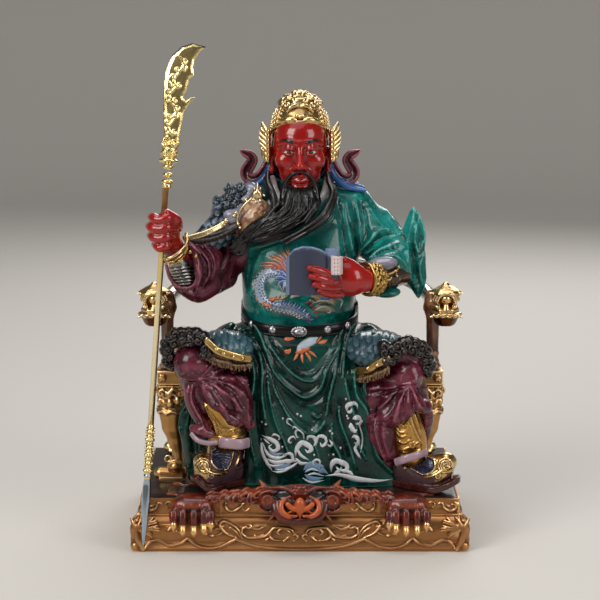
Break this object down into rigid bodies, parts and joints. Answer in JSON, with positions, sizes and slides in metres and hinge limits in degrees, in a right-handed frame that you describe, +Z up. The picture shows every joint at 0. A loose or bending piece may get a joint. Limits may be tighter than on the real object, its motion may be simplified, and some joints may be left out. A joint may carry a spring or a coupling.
{
  "type": "statuette",
  "caption": "Painted and gilded statuette of a bearded general seated on a horseshoe throne, with a glaive and a book, on a plinth with a tiger skin.",
  "frame": {"origin": "centre of the plinth's flat underside", "axes": "+Z up, front of the figure towards -Y, its left hand towards +X"},
  "size_m": [0.2926, 0.2309, 0.4299],
  "materials": {
    "bronze_gilt": "bronze-gold leaf over a cast body, brighter where worn, dark in the carving, with a black gloss top",
    "red_lacquer": "orange-red lacquer shaded to near black, with gilt claws and nose",
    "throne_gilt": "satin gold leaf on carved legs and lanterns, dark brown lacquer on the rail",
    "green_lacquer": "deep green gloss lacquer with lighter teal mottling; purple, red, black, blue and gilt areas beside it",
    "pale_gilt": "bright pale gold plate, engraved, with a black enamel edge and a silvery spike"
  },
  "bodies": {
    "root": {"plinth": "bronze_gilt", "tiger_skin": "red_lacquer", "throne": "throne_gilt", "seated_figure": "green_lacquer", "glaive": "pale_gilt"}
  },
  "joints": []
}
